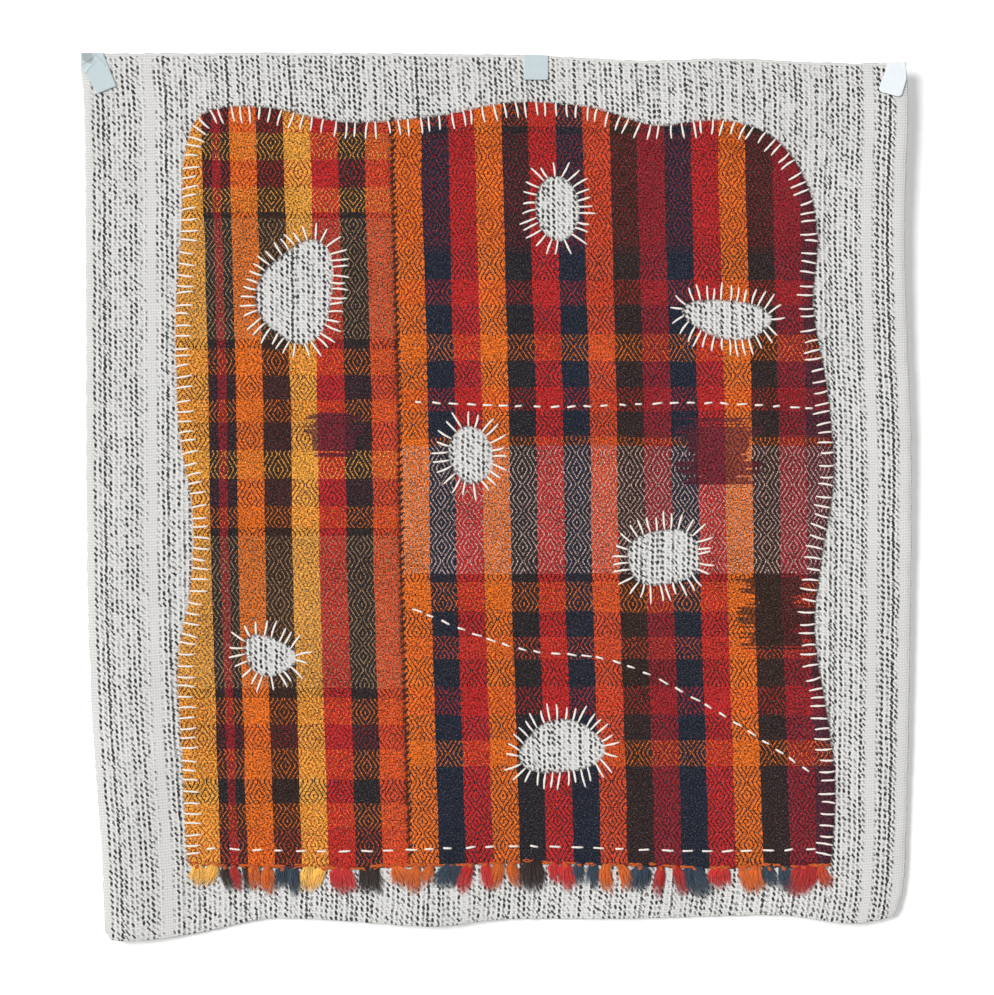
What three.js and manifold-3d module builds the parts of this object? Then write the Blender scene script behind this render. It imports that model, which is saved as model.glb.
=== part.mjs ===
// A textile wall hanging: a plaid wool patch sewn on a heavy marled backing cloth.
// It hangs on a wall by three folded tabs at its top edge.
// Millimetres. +X is right, +Z is up, and the hanging faces -Y. The wall is the plane y = 0.
// The origin is the middle of the top edge, on the wall.
import * as THREE from "three";
import { mergeVertices } from "three/addons/utils/BufferGeometryUtils.js";
import Module from "manifold-3d";

const wasm = await Module();
wasm.setup();

// Driving dimensions
const airGap = 0.3;
const tabSheet = 0.8;
const tabFace = 1.0;
const backingThick = 2.6;
const plaidThick = 1.8;
const wallGap = tabSheet + airGap;
const columns = 27;
const rows = 28;
// Blocks that cut the cloth are this deep, and reach this far sideways from the middle.
const cutDepth = 60;
const cutReach = 600;

// The cloth's four corners as it hangs.
const corners = {
  topLeft: { x: -413, z: 2 },
  topRight: { x: 410, z: -7 },
  bottomLeft: { x: -387, z: -881 },
  bottomRight: { x: 402, z: -857 },
};

// How far each edge strays outwards from the straight line between its corners.
// along runs from 0 to 1, downwards on a side and rightwards on the top and bottom.
const leftStray = [
  { along: 0, out: 0 },
  { along: 0.06, out: -2 },
  { along: 0.16, out: -1 },
  { along: 0.4, out: 4.5 },
  { along: 0.6, out: 8 },
  { along: 0.75, out: 7 },
  { along: 0.9, out: 1 },
  { along: 1, out: 0 },
];
const rightStray = [
  { along: 0, out: 0 },
  { along: 0.05, out: 2 },
  { along: 0.18, out: 0 },
  { along: 0.3, out: 2.5 },
  { along: 0.45, out: 8.5 },
  { along: 0.65, out: 9 },
  { along: 0.85, out: 7.5 },
  { along: 0.96, out: 5 },
  { along: 1, out: 0 },
];
const topStray = [
  { along: 0, out: 0 },
  { along: 0.25, out: 2.2 },
  { along: 0.55, out: 3 },
  { along: 0.68, out: -1.5 },
  { along: 0.78, out: 1.5 },
  { along: 0.92, out: -1.5 },
  { along: 1, out: 0 },
];
const bottomStray = [
  { along: 0, out: 0 },
  { along: 0.05, out: 1 },
  { along: 0.12, out: -5 },
  { along: 0.2, out: -16 },
  { along: 0.3, out: -12 },
  { along: 0.41, out: -4 },
  { along: 0.5, out: -8.5 },
  { along: 0.65, out: -5.5 },
  { along: 0.8, out: -5 },
  { along: 0.86, out: -4 },
  { along: 0.94, out: 5.5 },
  { along: 1, out: 0 },
];

// Where the cloth stands away from the wall. Each row is one soft upright fold:
// where it is at the bottom hem, how wide and how far out it is there, how far it leans
// sideways for each millimetre up, and where it starts, as a share of the drop.
const folds = [
  { at: -376, wide: 58, out: 12, lean: 0.03, start: 0.3 },
  { at: -205, wide: 80, out: 2.5, lean: -0.04, start: 0.15 },
  { at: -66, wide: 82, out: 8.5, lean: 0.08, start: 0.1 },
  { at: 150, wide: 75, out: 3.5, lean: -0.06, start: 0.2 },
  { at: 340, wide: 66, out: 9.5, lean: 0.02, start: 0.25 },
];
const slack = { out: 4.5, at: -20, reach: 150 };
const drop = 870;

// The tabs: the middle of each one's lower end, its turn in degrees, and its width.
const tabs = [
  { name: "hanging_tab_left", x: -387, z: -34, turn: 22, width: 20.5, corner: 1.2 },
  { name: "hanging_tab_middle", x: 41, z: -22.5, turn: 0, width: 24.5, corner: 2 },
  { name: "hanging_tab_right", x: 395, z: -36.5, turn: -16, width: 22, corner: 4 },
];
const tabLength = 60;

// The plaid patch: its edge from the lower left corner round the top to the lower right one.
const patchEdge = [
  { x: -306, z: -803 },
  { x: -311, z: -700 },
  { x: -315, z: -605 },
  { x: -303, z: -530 },
  { x: -301, z: -455 },
  { x: -314, z: -375 },
  { x: -318, z: -270 },
  { x: -312, z: -170 },
  { x: -309, z: -100 },
  { x: -290, z: -58 },
  { x: -232, z: -52 },
  { x: -150, z: -67 },
  { x: -62, z: -61 },
  { x: 18, z: -47 },
  { x: 95, z: -52 },
  { x: 158, z: -70 },
  { x: 222, z: -65 },
  { x: 274, z: -80 },
  { x: 307, z: -120 },
  { x: 321, z: -178 },
  { x: 317, z: -250 },
  { x: 331, z: -335 },
  { x: 337, z: -420 },
  { x: 325, z: -500 },
  { x: 318, z: -575 },
  { x: 329, z: -650 },
  { x: 338, z: -725 },
  { x: 334, z: -803 },
];
const patchHem = [
  { x: 334, z: -803 },
  { x: 210, z: -806 },
  { x: 20, z: -801 },
  { x: -150, z: -806 },
  { x: -306, z: -803 },
];
const edgeSteps = 108;
const hemSteps = 10;

// The seam that joins the patch's two loom widths.
const seam = [
  { x: -104, z: 0 },
  { x: -101, z: -150 },
  { x: -96, z: -330 },
  { x: -93, z: -520 },
  { x: -88, z: -680 },
  { x: -82, z: -880 },
];
const seamSteps = 12;

// The worn holes in the patch. lobes and swell make each one uneven.
const holes = [
  { x: -197, z: -236, halfWidth: 38, halfHeight: 52, turn: -14, lobes: 3, swell: 0.1 },
  { x: 62, z: -152, halfWidth: 24, halfHeight: 31, turn: 12, lobes: 2, swell: 0.08 },
  { x: 232, z: -262, halfWidth: 45, halfHeight: 20, turn: -7, lobes: 3, swell: 0.07 },
  { x: -24, z: -398, halfWidth: 21, halfHeight: 32, turn: 22, lobes: 2, swell: 0.1 },
  { x: 168, z: -500, halfWidth: 38, halfHeight: 29, turn: 9, lobes: 4, swell: 0.05 },
  { x: -226, z: -598, halfWidth: 27, halfHeight: 20, turn: -20, lobes: 3, swell: 0.09 },
  { x: 66, z: -690, halfWidth: 43, halfHeight: 27, turn: 6, lobes: 3, swell: 0.08 },
];
const holeSteps = 22;

// The fringe: locks of warp ends under a narrow strip of the patch's hem.
const fringeStrip = 4;
const lockPitch = 13;
const lockLength = 27;
const lockWidth = 9.5;
const lockSlant = 9;
const lockClear = 1;
const fringeInset = 3;

// Smooth curve through the rows of a table: the value of key where on is at.
function through(table, on, key, at) {
  let i = 0;
  while (i < table.length - 2 && at > table[i + 1][on]) i += 1;
  const before = table[Math.max(i - 1, 0)];
  const [low, high] = [table[i], table[i + 1]];
  const after = table[Math.min(i + 2, table.length - 1)];
  const span = high[on] - low[on];
  const t = THREE.MathUtils.clamp((at - low[on]) / span, 0, 1);
  const startSlope = ((high[key] - before[key]) / (high[on] - before[on])) * span;
  const endSlope = ((after[key] - low[key]) / (after[on] - low[on])) * span;
  return (
    (2 * t ** 3 - 3 * t ** 2 + 1) * low[key] +
    (t ** 3 - 2 * t ** 2 + t) * startSlope +
    (3 * t ** 2 - 2 * t ** 3) * high[key] +
    (t ** 3 - t ** 2) * endSlope
  );
}

// The cloth's point at a share of its width and a share of its drop.
function clothPoint(u, v) {
  const { topLeft, topRight, bottomLeft, bottomRight } = corners;
  const mix = THREE.MathUtils.lerp;
  const x = mix(mix(topLeft.x, topRight.x, u), mix(bottomLeft.x, bottomRight.x, u), v);
  const z = mix(mix(topLeft.z, topRight.z, u), mix(bottomLeft.z, bottomRight.z, u), v);
  const sideways =
    u * through(rightStray, "along", "out", v) - (1 - u) * through(leftStray, "along", "out", v);
  const upwards =
    (1 - v) * through(topStray, "along", "out", u) - v * through(bottomStray, "along", "out", u);
  return { x: x + sideways, z: z + upwards };
}

// How far the back of the cloth stands from the wall at a point.
function standOff(x, z) {
  const down = THREE.MathUtils.clamp(-z / drop, 0, 1);
  let out = wallGap;
  for (const fold of folds) {
    const middle = fold.at + fold.lean * (z + drop);
    const grown = THREE.MathUtils.smoothstep(down, fold.start, 1);
    out += fold.out * grown * Math.exp(-(((x - middle) / fold.wide) ** 2));
  }
  // The top edge stands further out between one tab and the next.
  const [left, middle, right] = tabs.map((tab) => tab.x);
  const [from, to] = x < middle ? [left, middle] : [middle, right];
  const share = THREE.MathUtils.clamp((x - from) / (to - from), 0, 1);
  const lean = Math.sin(Math.PI * share) ** 2 * Math.exp(-(((z - slack.at) / slack.reach) ** 2));
  return out + slack.out * lean;
}

// A closed mesh from corner points and triangles.
function closedMesh(points, triangles) {
  const geometry = new THREE.BufferGeometry();
  geometry.setAttribute("position", new THREE.Float32BufferAttribute(points.flat(), 3));
  geometry.setIndex(triangles.flat());
  return geometry;
}

// One layer of the hanging cloth, between two distances in front of the cloth's back.
// Every layer has the same corners, so layers lie parallel. raise lengthens it at the top,
// and spread widens it at both sides.
function clothLayer(near, far, raise = 0, spread = 0) {
  const points = [];
  const triangles = [];
  const across = columns + 1;
  const layerSize = across * (rows + 1);
  for (const offset of [far, near]) {
    for (let j = 0; j <= rows; j += 1) {
      for (let i = 0; i <= columns; i += 1) {
        const { x, z } = clothPoint(i / columns, j / rows);
        const out = -standOff(x, z) - offset;
        const sideways = i === 0 ? -spread : i === columns ? spread : 0;
        points.push([x + sideways, out, j === 0 ? z + raise : z]);
      }
    }
  }
  const quad = (a, b, c, d) => triangles.push([a, b, c], [a, c, d]);
  for (let j = 0; j < rows; j += 1) {
    for (let i = 0; i < columns; i += 1) {
      const a = j * across + i;
      const [b, c, d] = [a + across, a + across + 1, a + 1];
      quad(a, b, c, d);
      // The back is split along the same diagonal.
      triangles.push([a + layerSize, c + layerSize, b + layerSize]);
      triangles.push([a + layerSize, d + layerSize, c + layerSize]);
    }
  }
  for (let i = 0; i < columns; i += 1) {
    const low = rows * across + i;
    quad(i + 1, i + 1 + layerSize, i + layerSize, i);
    quad(low, low + layerSize, low + 1 + layerSize, low + 1);
  }
  for (let j = 0; j < rows; j += 1) {
    const left = j * across;
    const right = left + columns;
    quad(left, left + layerSize, left + across + layerSize, left + across);
    quad(right + across, right + across + layerSize, right + layerSize, right);
  }
  return closedMesh(points, triangles);
}

// An upright outline of { x, z } points, extruded from the wall forwards.
function outlineBlock(outline, depth = cutDepth) {
  const shape = new THREE.Shape(outline.map(({ x, z }) => new THREE.Vector2(x, z)));
  const block = new THREE.ExtrudeGeometry(shape, { depth, bevelEnabled: false });
  return block.rotateX(Math.PI / 2);
}

function solid(geometry) {
  const bare = geometry.index ? geometry.toNonIndexed() : geometry.clone();
  bare.deleteAttribute("normal");
  bare.deleteAttribute("uv");
  const merged = mergeVertices(bare, 1e-4);
  return new wasm.Manifold(
    new wasm.Mesh({
      numProp: 3,
      vertProperties: merged.attributes.position.array,
      triVerts: new Uint32Array(merged.index.array),
    }),
  );
}

function geometryOf(made) {
  const mesh = made.getMesh();
  const geometry = new THREE.BufferGeometry();
  geometry.setAttribute("position", new THREE.BufferAttribute(mesh.vertProperties, 3));
  geometry.setIndex(new THREE.BufferAttribute(mesh.triVerts, 1));
  return geometry;
}

function curvePoints(points, steps) {
  const knots = points.map(({ x, z }) => new THREE.Vector3(x, 0, z));
  const curve = new THREE.CatmullRomCurve3(knots, false, "catmullrom", 0.5);
  return curve.getPoints(steps).map((point) => ({ x: point.x, z: point.z }));
}

function holeOutline(hole) {
  const turn = THREE.MathUtils.degToRad(hole.turn);
  return Array.from({ length: holeSteps }, (_, step) => {
    const angle = (2 * Math.PI * step) / holeSteps;
    const size = 1 + hole.swell * Math.sin(hole.lobes * angle + hole.x);
    const [x, z] = [
      hole.halfWidth * size * Math.cos(angle),
      hole.halfHeight * size * Math.sin(angle),
    ];
    return {
      x: hole.x + x * Math.cos(turn) - z * Math.sin(turn),
      z: hole.z + x * Math.sin(turn) + z * Math.cos(turn),
    };
  });
}

// The side of the seam that a panel is on, from the seam out past the cloth's edge.
function seamSide(side) {
  const line = curvePoints(seam, seamSteps).map(({ x, z }) => ({ x: x + (side * airGap) / 2, z }));
  const far = side * cutReach;
  const outline = [{ x: far, z: line[0].z }, ...line, { x: far, z: line.at(-1).z }];
  return solid(outlineBlock(side < 0 ? outline : outline.reverse()));
}

const plaidBack = backingThick + airGap;
const plaidFront = plaidBack + plaidThick;
const plaidLayer = solid(clothLayer(plaidBack, plaidFront));
const hemLine = curvePoints(patchHem, hemSteps);

function plaidPanel(side) {
  const edge = curvePoints(patchEdge, edgeSteps);
  const hem = hemLine.slice(1, -1);
  let panel = plaidLayer.intersect(solid(outlineBlock([...edge, ...hem])));
  for (const hole of holes) panel = panel.subtract(solid(outlineBlock(holeOutline(hole))));
  return geometryOf(panel.intersect(seamSide(side)));
}

// A repeatable uneven number from 0 to 1.
function uneven(index, kind) {
  const wild = Math.sin(index * 12.9898 + kind * 78.233) * 43758.5453;
  return wild - Math.floor(wild);
}

// One flat four-sided lock of yarn, hanging from the strip.
function fringeLock(index, x) {
  const length = lockLength * (0.8 + 0.4 * uneven(index, 1));
  const sideways = lockSlant * (uneven(index, 2) - 0.5);
  const width = lockWidth * (0.8 + 0.3 * uneven(index, 3));
  const sections = [
    { along: 0, wide: 0.55, thick: 0.9 },
    { along: 0.2, wide: 0.85, thick: 2.6 },
    { along: 0.65, wide: 1, thick: 2.4 },
    { along: 1, wide: 0.55, thick: 1 },
  ];
  const top = through([...hemLine].reverse(), "x", "z", x) - airGap - fringeStrip / 2;
  const points = sections.flatMap(({ along, wide, thick }) => {
    const middle = x + sideways * along ** 2;
    const z = top - length * along;
    const half = (width * wide) / 2;
    const near = -standOff(middle, z) - backingThick - lockClear;
    return [
      [middle - half, near, z],
      [middle + half, near, z],
      [middle + half, near - thick, z],
      [middle - half, near - thick, z],
    ];
  });
  const triangles = [
    [0, 2, 1],
    [0, 3, 2],
  ];
  const last = points.length - 4;
  for (let ring = 0; ring < last; ring += 4) {
    for (let side = 0; side < 4; side += 1) {
      const [a, b] = [ring + side, ring + ((side + 1) % 4)];
      triangles.push([a, b, b + 4], [a, b + 4, a + 4]);
    }
  }
  triangles.push([last, last + 1, last + 2], [last, last + 2, last + 3]);
  return closedMesh(points, triangles);
}

function fringe(side) {
  const seamX = through([...seam].reverse(), "z", "x", patchHem[0].z);
  const edgeX = (side < 0 ? patchHem.at(-1) : patchHem[0]).x;
  const [from, to] = side < 0 ? [edgeX, seamX - airGap / 2] : [seamX + airGap / 2, edgeX];
  const upper = hemLine.map(({ x, z }) => ({ x, z: z - airGap }));
  const lower = upper.map(({ x, z }) => ({ x, z: z - fringeStrip })).reverse();
  const strip = solid(outlineBlock([...lower, ...upper].reverse()));
  let made = plaidLayer.intersect(strip).intersect(seamSide(side));
  const count = Math.floor((to - from - 2 * fringeInset) / lockPitch);
  const pitch = (to - from - 2 * fringeInset) / count;
  for (let i = 0; i < count; i += 1) {
    const index = i + (side < 0 ? 0 : 100);
    made = made.add(solid(fringeLock(index, from + fringeInset + pitch * (i + 0.5))));
  }
  return geometryOf(made);
}

// A tab folded over the top edge, with the cloth in its slot. Its back lies on the wall.
function hangingTab({ x, z, turn, width, corner }) {
  const flap = new THREE.Shape();
  const half = width / 2;
  flap.moveTo(-half, tabLength);
  flap.lineTo(-half, corner);
  flap.absarc(-half + corner, corner, corner, Math.PI, 1.5 * Math.PI);
  flap.absarc(half - corner, corner, corner, 1.5 * Math.PI, 2 * Math.PI);
  flap.lineTo(half, tabLength);
  const slant = THREE.MathUtils.degToRad(turn);
  const outline = flap.getPoints(4).map((point) => point.rotateAround(new THREE.Vector2(), slant));
  const depth = wallGap + backingThick + airGap + tabFace;
  const placed = outline.map((point) => ({ x: x + point.x, z: z + point.y }));
  const block = solid(outlineBlock(placed, depth));
  const slot = solid(clothLayer(-airGap, backingThick + airGap, airGap, 1));
  const fold = solid(clothLayer(-cutDepth, cutDepth, airGap + tabSheet));
  return geometryOf(block.intersect(fold).subtract(slot));
}

const yarns = {
  backing: new THREE.MeshStandardMaterial({ color: 0xcfccc6, roughness: 0.95, metalness: 0 }),
  plaidWarm: new THREE.MeshStandardMaterial({ color: 0xc46a24, roughness: 0.9, metalness: 0 }),
  plaidRed: new THREE.MeshStandardMaterial({ color: 0x8f2c28, roughness: 0.9, metalness: 0 }),
  fringe: new THREE.MeshStandardMaterial({ color: 0xb8502a, roughness: 0.9, metalness: 0 }),
  tab: new THREE.MeshStandardMaterial({ color: 0xc9d6dc, roughness: 0.4, metalness: 0 }),
};

function piece(name, geometry, material) {
  const mesh = new THREE.Mesh(geometry, material);
  mesh.name = name;
  return mesh;
}

const hanging = new THREE.Group();
hanging.add(
  piece("backing_cloth", clothLayer(0, backingThick), yarns.backing),
  piece("plaid_panel_left", plaidPanel(-1), yarns.plaidWarm),
  piece("plaid_panel_right", plaidPanel(1), yarns.plaidRed),
  piece("fringe_left", fringe(-1), yarns.fringe),
  piece("fringe_right", fringe(1), yarns.fringe),
);
for (const tab of tabs) hanging.add(piece(tab.name, hangingTab(tab), yarns.tab));

export default hanging;
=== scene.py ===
"""A textile wall hanging: a plaid wool patch sewn on a heavy marled cloth, hung by three tabs.

Lengths are in millimetres in the tables and in metres in Blender. +X is right, +Z is up,
and the hanging faces -Y. The wall is the plane y = 0.
"""

import math
import random
from functools import partialmethod

import bpy
import numpy as np
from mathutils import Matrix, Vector
from mathutils.geometry import delaunay_2d_cdt


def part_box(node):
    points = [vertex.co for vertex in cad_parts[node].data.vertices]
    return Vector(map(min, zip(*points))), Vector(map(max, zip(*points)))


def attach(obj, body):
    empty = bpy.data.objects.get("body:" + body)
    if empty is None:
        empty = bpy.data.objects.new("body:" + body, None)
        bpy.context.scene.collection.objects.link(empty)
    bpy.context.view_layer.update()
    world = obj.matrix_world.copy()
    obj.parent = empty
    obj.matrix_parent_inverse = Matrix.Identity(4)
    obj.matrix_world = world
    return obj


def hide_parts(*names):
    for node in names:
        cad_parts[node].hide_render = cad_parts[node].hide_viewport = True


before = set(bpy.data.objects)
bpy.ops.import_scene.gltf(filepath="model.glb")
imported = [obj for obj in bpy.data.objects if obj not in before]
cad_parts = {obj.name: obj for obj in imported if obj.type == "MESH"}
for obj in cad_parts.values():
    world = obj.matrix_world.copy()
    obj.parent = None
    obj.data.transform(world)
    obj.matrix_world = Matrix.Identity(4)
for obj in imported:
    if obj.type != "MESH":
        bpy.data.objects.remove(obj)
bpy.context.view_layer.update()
MM = 0.001
draw = random.Random(11)

# Sizes of the cloths
AIR_GAP = 0.3
WALL_GAP = 1.1
BACKING_THICK = 2.6
PLAID_THICK = 1.8
CLOTH_WIDE = 815
CLOTH_LONG = 876
DROP = 870
EDGE_STEP = 3
CORNER_ROUND = 9

# The width of the meshes' cells
CELL = 5

# The cloth's corners as it hangs
TOP_LEFT = (-413, 2)
TOP_RIGHT = (410, -7)
BOTTOM_LEFT = (-387, -881)
BOTTOM_RIGHT = (402, -857)

# How far each edge strays outwards: (share along the edge, stray). The sides run downwards.
LEFT_STRAY = [(0, 0), (0.06, -2), (0.16, -1), (0.4, 4.5), (0.6, 8), (0.75, 7), (0.9, 1), (1, 0)]
RIGHT_STRAY = [
    (0, 0), (0.05, 2), (0.18, 0), (0.3, 2.5), (0.45, 8.5), (0.65, 9), (0.85, 7.5), (0.96, 5), (1, 0),
]
TOP_STRAY = [(0, 0), (0.25, 2.2), (0.55, 3), (0.68, -1.5), (0.78, 1.5), (0.92, -1.5), (1, 0)]
BOTTOM_STRAY = [
    (0, 0), (0.05, 1), (0.12, -5), (0.2, -16), (0.3, -12), (0.41, -4),
    (0.5, -8.5), (0.65, -5.5), (0.8, -5), (0.86, -4), (0.94, 5.5), (1, 0),
]

# Soft upright folds: place at the bottom hem, width, depth, lean, and the share of the drop
# at which each one starts
FOLDS = [
    (-376, 58, 12, 0.03, 0.3),
    (-205, 80, 2.5, -0.04, 0.15),
    (-66, 82, 8.5, 0.08, 0.1),
    (150, 75, 3.5, -0.06, 0.2),
    (340, 66, 9.5, 0.02, 0.25),
]
# Where the tabs hold the cloth, and how far it stands out between them, at which height
TAB_PLACES = (-387, 41, 395)
SLACK_OUT = 4.5
SLACK_AT = -20
SLACK_REACH = 150

# The patch's edge from its lower left corner round the top to the lower right one
PATCH_EDGE = [
    (-306, -803), (-311, -700), (-315, -605), (-303, -530), (-301, -455), (-314, -375),
    (-318, -270), (-312, -170), (-309, -100), (-290, -58), (-232, -52), (-150, -67),
    (-62, -61), (18, -47), (95, -52), (158, -70), (222, -65), (274, -80), (307, -120),
    (321, -178), (317, -250), (331, -335), (337, -420), (325, -500), (318, -575),
    (329, -650), (338, -725), (334, -803),
]
PATCH_HEM = [(334, -803), (210, -806), (20, -801), (-150, -806), (-306, -803)]
PATCH_TOP = -47
HEM_STRIP = 4.3
# The seam between the two loom widths, from the top down
SEAM = [(-104, 0), (-101, -150), (-96, -330), (-93, -520), (-88, -680), (-82, -880)]

# The holes: centre x and z, half width, half height, turn in degrees, lobes and swell
HOLES = [
    (-197, -236, 38, 52, -14, 3, 0.1),
    (62, -152, 24, 31, 12, 2, 0.08),
    (232, -262, 45, 20, -7, 3, 0.07),
    (-24, -398, 21, 32, 22, 2, 0.1),
    (168, -500, 38, 29, 9, 4, 0.05),
    (-226, -598, 27, 20, -20, 3, 0.09),
    (66, -690, 43, 27, 6, 3, 0.08),
]

# Yarn colours, as they look
YARNS = {
    "ochre": (198, 134, 50), "orange": (196, 92, 20), "flame": (180, 60, 28),
    "red": (162, 26, 26), "crimson": (120, 20, 30), "maroon": (76, 24, 38),
    "navy": (17, 27, 43), "charcoal": (28, 24, 28), "umber": (42, 24, 18),
    "rose": (172, 144, 136), "tan": (140, 110, 76), "gold": (226, 176, 82),
    "scarlet": (186, 34, 32), "slate": (40, 56, 72),
}


def through(table, at):
    """A smooth curve through a table's points, at a number or an array of numbers."""
    at = np.asarray(at, dtype=float)
    along, value = np.array(table, dtype=float).T
    last = len(table) - 2
    i = np.clip(np.searchsorted(along, at, side="left") - 1, 0, last)
    before = np.maximum(i - 1, 0)
    after = np.minimum(i + 2, last + 1)
    span = along[i + 1] - along[i]
    t = np.clip((at - along[i]) / span, 0, 1)
    start = (value[i + 1] - value[before]) / (along[i + 1] - along[before]) * span
    end = (value[after] - value[i]) / (along[after] - along[i]) * span
    return (
        (2 * t**3 - 3 * t**2 + 1) * value[i]
        + (t**3 - 2 * t**2 + t) * start
        + (3 * t**2 - 2 * t**3) * value[i + 1]
        + (t**3 - t**2) * end
    )


def wobble(size):
    """A random number from -size to size."""
    return draw.uniform(-size, size)


def smoothstep(value, low, high):
    """0 below low and 1 above high, smooth in between."""
    t = np.clip((value - low) / (high - low), 0, 1)
    return t * t * (3 - 2 * t)


def cloth_point(u, v):
    """Where the hanging cloth is, at a share of its width and a share of its drop."""
    def blend(k):
        top = TOP_LEFT[k] * (1 - u) + TOP_RIGHT[k] * u
        bottom = BOTTOM_LEFT[k] * (1 - u) + BOTTOM_RIGHT[k] * u
        return top * (1 - v) + bottom * v

    x = blend(0) + u * through(RIGHT_STRAY, v) - (1 - u) * through(LEFT_STRAY, v)
    z = blend(1) + (1 - v) * through(TOP_STRAY, u) - v * through(BOTTOM_STRAY, u)
    return x, z


def stand_off(x, z):
    """How far the back of the cloth stands from the wall."""
    down = np.clip(-z / DROP, 0, 1)
    out = WALL_GAP
    for at, wide, depth, lean, start in FOLDS:
        middle = at + lean * (z + DROP)
        out = out + depth * smoothstep(down, start, 1) * np.exp(-(((x - middle) / wide) ** 2))
    left, middle, right = TAB_PLACES
    low = np.where(x < middle, left, middle)
    high = np.where(x < middle, middle, right)
    share = np.clip((x - low) / (high - low), 0, 1)
    lean = np.sin(np.pi * share) ** 2 * np.exp(-(((z - SLACK_AT) / SLACK_REACH) ** 2))
    return out + SLACK_OUT * lean


def seam_x(z):
    """Where the seam is at a height."""
    return through([place[::-1] for place in SEAM[::-1]], z)


def stacked(*parts):
    """Arrays of one size, as the columns of one array."""
    return np.column_stack([np.ravel(part) for part in parts])


def smooth_line(points, step):
    """A Catmull-Rom curve through points, with its points about a step apart."""
    ends = np.array([points[0], *points, points[-1]], dtype=float)
    parts = []
    for a, b, c, d in zip(ends, ends[1:], ends[2:], ends[3:]):
        count = max(1, round(float(np.linalg.norm(c - b)) / step))
        t = np.arange(count)[:, None] / count
        parts.append(
            0.5 * (2 * b + (c - a) * t + (2 * a - 5 * b + 4 * c - d) * t**2
                   + (3 * b - a - 3 * c + d) * t**3)
        )
    return np.vstack([*parts, ends[-1:]])


def lengths_along(line):
    """How far each point of a line is from its start, along the line."""
    return np.r_[0, np.cumsum(np.linalg.norm(np.diff(line, axis=0), axis=1))]


def on_line(line, lengths, at):
    """The x and z at a distance along a line, or at an array of distances."""
    return np.array([np.interp(at, lengths, line[:, k]) for k in (0, 1)])


def even_steps(line, step):
    """The points that lie a step apart on a line."""
    lengths = lengths_along(line)
    count = max(2, round(lengths[-1] / step))
    return on_line(line, lengths, np.linspace(0, lengths[-1], count + 1)).T


def turned(x, z, degrees):
    """x and z turned about the origin, as one array."""
    turn = math.radians(degrees)
    across = x * math.cos(turn) - z * math.sin(turn)
    return np.array([across, x * math.sin(turn) + z * math.cos(turn)])


def hole_outline(hole):
    """A hole's edge: a turned oval whose size swells and shrinks along it."""
    x, z, half_wide, half_high, turn, lobes, swell = hole
    angle = np.linspace(0, 2 * np.pi, 240)
    size = 1 + swell * np.sin(lobes * angle + x)
    oval = turned(half_wide * size * np.cos(angle), half_high * size * np.sin(angle), turn)
    return even_steps(oval.T + (x, z), EDGE_STEP)[:-1]


def closed(ring):
    """A ring as a line that ends where it starts."""
    return np.vstack([ring, ring[:1]])


def inside(points, polygon):
    """Which points lie inside a polygon."""
    x, z = points.T
    result = np.zeros(len(points), dtype=bool)
    for (x0, z0), (x1, z1) in zip(polygon, np.roll(polygon, -1, axis=0)):
        crosses = (z0 > z) != (z1 > z)
        reach = (x1 - x0) * (z - z0) / (z1 - z0 if z1 != z0 else 1e-9) + x0
        result ^= crosses & (x < reach)
    return result


def ragged(line, amount, is_ring=False):
    """A line whose points stray a little, as a cut and sewn edge does."""
    strays = np.array([wobble(amount) for _ in range(2 * len(line))])
    result = line + strays.reshape(-1, 2)
    if not is_ring:
        result[0], result[-1] = line[0], line[-1]
    return result


def linear(colour):
    """A colour as it looks, 0 to 255, as Blender's linear values."""
    parts = [c / 255 for c in colour]
    return (*[c / 12.92 if c <= 0.04045 else ((c + 0.055) / 1.055) ** 2.4 for c in parts], 1.0)


def in_scene(name, data):
    """A new object in the scene."""
    item = bpy.data.objects.new(name, data)
    bpy.context.scene.collection.objects.link(item)
    return item


def mesh_piece(name, points, faces, material, uvs, colours=None):
    """A new piece of the hanging. points are in millimetres."""
    mesh = bpy.data.meshes.new(name)
    mesh.from_pydata((points * MM).tolist(), [], faces)
    layer = mesh.uv_layers.new(name="cloth")
    layer.data.foreach_set("uv", uvs.astype(np.float32)[np.concatenate(faces)].ravel())
    if colours is not None:
        shade = mesh.color_attributes.new(name="yarn", type="FLOAT_COLOR", domain="POINT")
        shade.data.foreach_set("color", colours.astype(np.float32).ravel())
    mesh.shade_smooth()
    mesh.materials.append(material)
    piece = in_scene(name, mesh)
    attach(piece, "root")
    return piece


def join(value, socket):
    """Link a field or a colour socket to an input, or set the input's own value."""
    if isinstance(value, Field):
        value = value.socket
    if isinstance(value, bpy.types.NodeSocket):
        socket.id_data.links.new(value, socket)
    else:
        socket.default_value = value


def new_node(tree, kind, inputs, **settings):
    """A new shader node, with a field, a socket or a value for each input that is named."""
    node = tree.nodes.new(f"ShaderNode{kind}")
    for key, value in settings.items():
        setattr(node, key, value)
    for key, value in inputs.items():
        join(value, node.inputs[key])
    return node


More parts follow.
